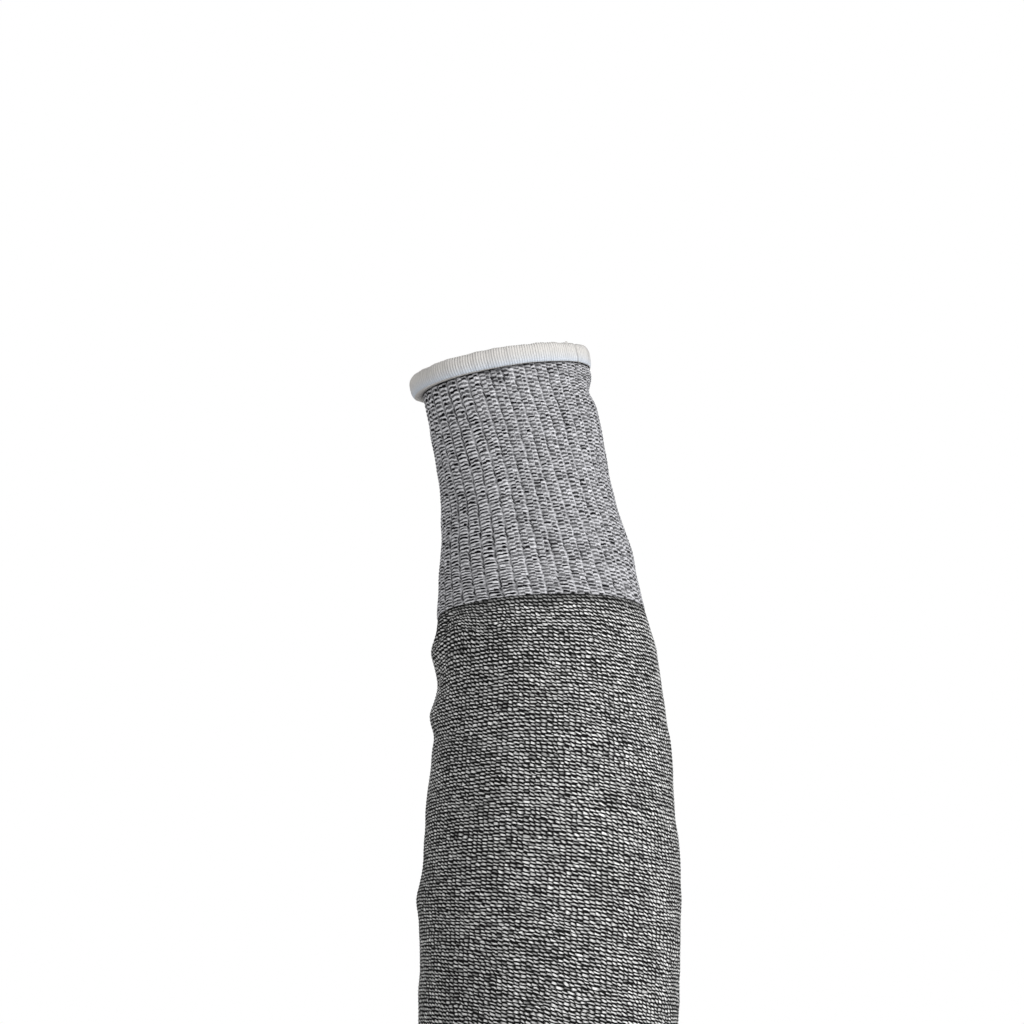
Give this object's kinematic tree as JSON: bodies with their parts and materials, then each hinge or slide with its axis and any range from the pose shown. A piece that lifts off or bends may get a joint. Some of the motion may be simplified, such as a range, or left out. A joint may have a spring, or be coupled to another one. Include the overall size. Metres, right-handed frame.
{
  "type": "cut resistant sleeve",
  "caption": "Knitted forearm sleeve as worn: a hollow tapered tube of marled grey knit with a ribbed wrist cuff and overcast edges.",
  "frame": {"origin": "the middle of the wrist edge, at the centre of the oval that the wrist passes through", "axes": "+Z along the forearm towards the hand, +X to the viewer's right with the thumb side on -X, -Y towards the viewer of the back of the arm"},
  "size_m": [0.0976, 0.0836, 0.362],
  "materials": {
    "edge_thread": "overcast white elastic thread",
    "rib_knit": "light grey marled rib knit",
    "body_knit": "dark grey and off-white marled plain knit"
  },
  "bodies": {
    "root": {"wrist_edge": "edge_thread", "rib_cuff": "rib_knit", "sleeve_body": "body_knit", "upper_edge": "edge_thread"}
  },
  "joints": []
}
